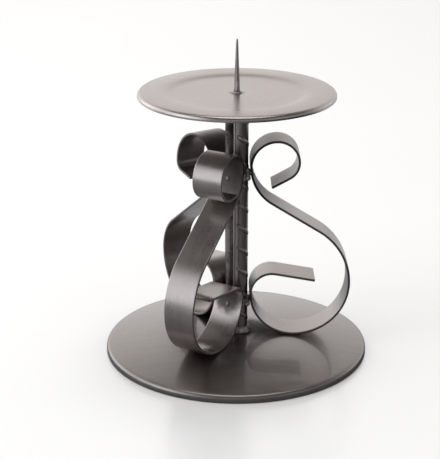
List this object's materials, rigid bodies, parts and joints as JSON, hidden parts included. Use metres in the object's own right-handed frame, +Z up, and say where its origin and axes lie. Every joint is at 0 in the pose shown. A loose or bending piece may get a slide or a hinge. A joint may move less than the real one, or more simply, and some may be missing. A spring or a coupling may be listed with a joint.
{
  "type": "pricket candlestick",
  "caption": "Wrought-iron pricket candlestick: domed round foot, paired-bar stem with S-scrolls of flat strip, and a recessed round plate with a spike for a pillar candle.",
  "frame": {"origin": "on the floor under the centre of the round foot, between the two bars of the stem", "axes": "+Z up along the stem, +X along the right-hand scroll, -Y towards the viewer, where the ribbed bar stands in front"},
  "size_m": [0.13, 0.13, 0.1575],
  "materials": {
    "foot_sheet": "satin graphite coat on wrought iron",
    "plate_sheet": "satin graphite coat on wrought iron",
    "spike": "satin graphite coat on wrought iron",
    "ribbed_bar": "satin graphite coat on wrought iron",
    "plain_bar": "satin graphite coat on wrought iron",
    "strip": "satin graphite coat on wrought iron",
    "weld": "satin graphite coat on wrought iron"
  },
  "bodies": {
    "root": {"base_disc": "foot_sheet", "drip_plate": "plate_sheet", "pricket": "spike", "stem_ribbed_bar": "ribbed_bar", "stem_plain_bar": "plain_bar", "stem_foot_weld": "weld", "stem_top_weld": "weld", "pricket_weld": "weld", "scroll_right": "strip", "weld_upper_right": "weld", "weld_lower_right": "weld", "spot_upper_right": "weld", "spot_lower_right": "weld", "scroll_back_left": "strip", "weld_upper_back_left": "weld", "weld_lower_back_left": "weld", "spot_upper_back_left": "weld", "spot_lower_back_left": "weld", "scroll_front_left": "strip", "weld_upper_front_left": "weld", "weld_lower_front_left": "weld", "spot_upper_front_left": "weld", "spot_lower_front_left": "weld"}
  },
  "joints": []
}
